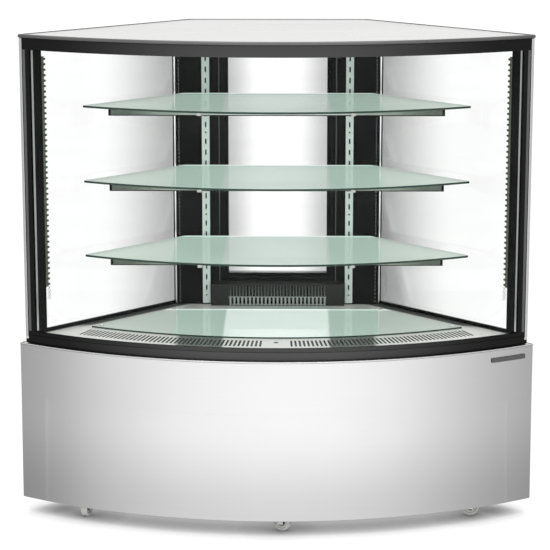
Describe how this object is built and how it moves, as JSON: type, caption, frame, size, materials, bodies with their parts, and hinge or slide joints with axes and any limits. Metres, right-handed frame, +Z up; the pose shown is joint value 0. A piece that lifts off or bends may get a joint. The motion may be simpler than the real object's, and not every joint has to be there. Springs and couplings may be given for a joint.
{
  "type": "refrigerated bakery display case",
  "caption": "Outside-corner bakery display case with a curved glass front, glass shelves on slotted standards, a rear door and a steel base on castors.",
  "frame": {"origin": "on the floor, under the middle of the case's overall box", "axes": "+X to the right as a customer sees the curved front, +Y from the curved front to the service back, +Z up"},
  "size_m": [1.416, 0.66, 1.338],
  "materials": {
    "brushed_steel": "satin, brushed along the panel",
    "polished_steel": "polished",
    "galvanised_steel": "zinc plated",
    "black_metal": "semi-gloss black",
    "dark_trim": "satin dark grey",
    "top_laminate": "satin light grey",
    "clear_glass": "clear",
    "shelf_glass": "clear with a green edge",
    "standard_paint": "satin pale grey",
    "light_strip": "translucent",
    "insulation": "matt",
    "aluminium": "plain",
    "copper": "plain",
    "compressor_black": "satin",
    "black_plastic": "fine texture",
    "rubber_seal": "matt",
    "nylon": "satin"
  },
  "bodies": {
    "root": {"front_panel": "brushed_steel", "left_side_panel": "brushed_steel", "right_side_panel": "brushed_steel", "rear_grille": "brushed_steel", "control_panel": "brushed_steel", "door_hinge_rod": "brushed_steel", "deck_pan": "polished_steel", "base_floor_pan": "galvanised_steel", "fan_shroud": "galvanised_steel", "bottom_rail": "black_metal", "left_bottom_rail": "black_metal", "right_bottom_rail": "black_metal", "left_front_post": "black_metal", "right_front_post": "black_metal", "rear_frame": "black_metal", "top_frame": "black_metal", "air_duct_cover": "black_metal", "lower_shelf_carrier": "black_metal", "middle_shelf_carrier": "black_metal", "upper_shelf_carrier": "black_metal", "top_trim": "dark_trim", "top_panel": "top_laminate", "front_glass": "clear_glass", "left_side_glass": "clear_glass", "right_side_glass": "clear_glass", "lower_shelf": "shelf_glass", "middle_shelf": "shelf_glass", "upper_shelf": "shelf_glass", "deck_glass": "shelf_glass", "left_shelf_standard": "standard_paint", "right_shelf_standard": "standard_paint", "left_led_strip": "light_strip", "right_led_strip": "light_strip", "well_liner": "insulation", "evaporator_coil": "aluminium", "condenser_coil": "aluminium", "refrigerant_pipe": "copper", "compressor": "compressor_black", "controller": "black_plastic", "cord_gland": "black_plastic"},
    "door": {"door_frame": "black_metal", "door_glass": "clear_glass", "door_gasket": "rubber_seal", "door_handle": "black_plastic"},
    "drip_tray": {"drip_tray": "galvanised_steel"},
    "evaporator_fan": {"evaporator_fan": "black_plastic"},
    "condenser_fan": {"condenser_fan": "black_plastic"},
    "up_button": {"up_button": "aluminium"},
    "down_button": {"down_button": "aluminium"},
    "power_switch": {"power_switch": "black_plastic"},
    "front_left_castor_fork": {"front_left_castor_fork": "galvanised_steel"},
    "front_left_castor_wheel": {"front_left_castor_wheel": "nylon"},
    "front_centre_castor_fork": {"front_centre_castor_fork": "galvanised_steel"},
    "front_centre_castor_wheel": {"front_centre_castor_wheel": "nylon"},
    "front_right_castor_fork": {"front_right_castor_fork": "galvanised_steel"},
    "front_right_castor_wheel": {"front_right_castor_wheel": "nylon"},
    "rear_left_castor_fork": {"rear_left_castor_fork": "galvanised_steel"},
    "rear_left_castor_wheel": {"rear_left_castor_wheel": "nylon"},
    "rear_right_castor_fork": {"rear_right_castor_fork": "galvanised_steel"},
    "rear_right_castor_wheel": {"rear_right_castor_wheel": "nylon"}
  },
  "joints": [
    {"name": "door_hinge", "type": "hinge", "parent": "root", "child": "door", "pos_m": [-0.159, 0.294, 0.93], "axis": [0, 0, 1], "range_deg": [0, 95]},
    {"name": "drip_tray_slide", "type": "slide", "parent": "root", "child": "drip_tray", "axis": [0, 1, 0], "range_m": [0, 0.2]},
    {"name": "evaporator_fan_spin", "type": "hinge", "parent": "root", "child": "evaporator_fan", "pos_m": [0, 0.07, 0.418], "axis": [0, 1, 0], "continuous": true},
    {"name": "condenser_fan_spin", "type": "hinge", "parent": "root", "child": "condenser_fan", "pos_m": [0.115, 0.22, 0.182], "axis": [0, 1, 0], "continuous": true},
    {"name": "up_button_press", "type": "slide", "parent": "root", "child": "up_button", "axis": [0, -1, 0], "range_m": [0, 0.0008], "stiffness_N_per_m": 300},
    {"name": "down_button_press", "type": "slide", "parent": "root", "child": "down_button", "axis": [0, -1, 0], "range_m": [0, 0.0008], "stiffness_N_per_m": 300},
    {"name": "power_switch_rock", "type": "hinge", "parent": "root", "child": "power_switch", "pos_m": [0.07, 0.3245, 0.405], "axis": [-1, 0, 0], "range_deg": [0, 14]},
    {"name": "front_left_castor_swivel", "type": "hinge", "parent": "root", "child": "front_left_castor_fork", "pos_m": [-0.52, -0.145, 0.066], "axis": [0, 0, 1], "continuous": true},
    {"name": "front_left_castor_roll", "type": "hinge", "parent": "front_left_castor_fork", "child": "front_left_castor_wheel", "pos_m": [-0.52618, -0.16402, 0.025], "axis": [-0.9511, 0.309, 0], "continuous": true},
    {"name": "front_centre_castor_swivel", "type": "hinge", "parent": "root", "child": "front_centre_castor_fork", "pos_m": [0, -0.268, 0.066], "axis": [0, 0, 1], "continuous": true},
    {"name": "front_centre_castor_roll", "type": "hinge", "parent": "front_centre_castor_fork", "child": "front_centre_castor_wheel", "pos_m": [0.01813, -0.27645, 0.025], "axis": [-0.4226, -0.9063, 0], "continuous": true},
    {"name": "front_right_castor_swivel", "type": "hinge", "parent": "root", "child": "front_right_castor_fork", "pos_m": [0.52, -0.145, 0.066], "axis": [0, 0, 1], "continuous": true},
    {"name": "front_right_castor_roll", "type": "hinge", "parent": "front_right_castor_fork", "child": "front_right_castor_wheel", "pos_m": [0.54, -0.145, 0.025], "axis": [0, -1, 0], "continuous": true},
    {"name": "rear_left_castor_swivel", "type": "hinge", "parent": "root", "child": "rear_left_castor_fork", "pos_m": [-0.17, 0.26, 0.066], "axis": [0, 0, 1], "continuous": true},
    {"name": "rear_left_castor_roll", "type": "hinge", "parent": "rear_left_castor_fork", "child": "rear_left_castor_wheel", "pos_m": [-0.16, 0.27732, 0.025], "axis": [0.866, -0.5, 0], "continuous": true},
    {"name": "rear_right_castor_swivel", "type": "hinge", "parent": "root", "child": "rear_right_castor_fork", "pos_m": [0.17, 0.26, 0.066], "axis": [0, 0, 1], "continuous": true},
    {"name": "rear_right_castor_roll", "type": "hinge", "parent": "rear_right_castor_fork", "child": "rear_right_castor_wheel", "pos_m": [0.16, 0.27732, 0.025], "axis": [0.866, 0.5, 0], "continuous": true}
  ]
}
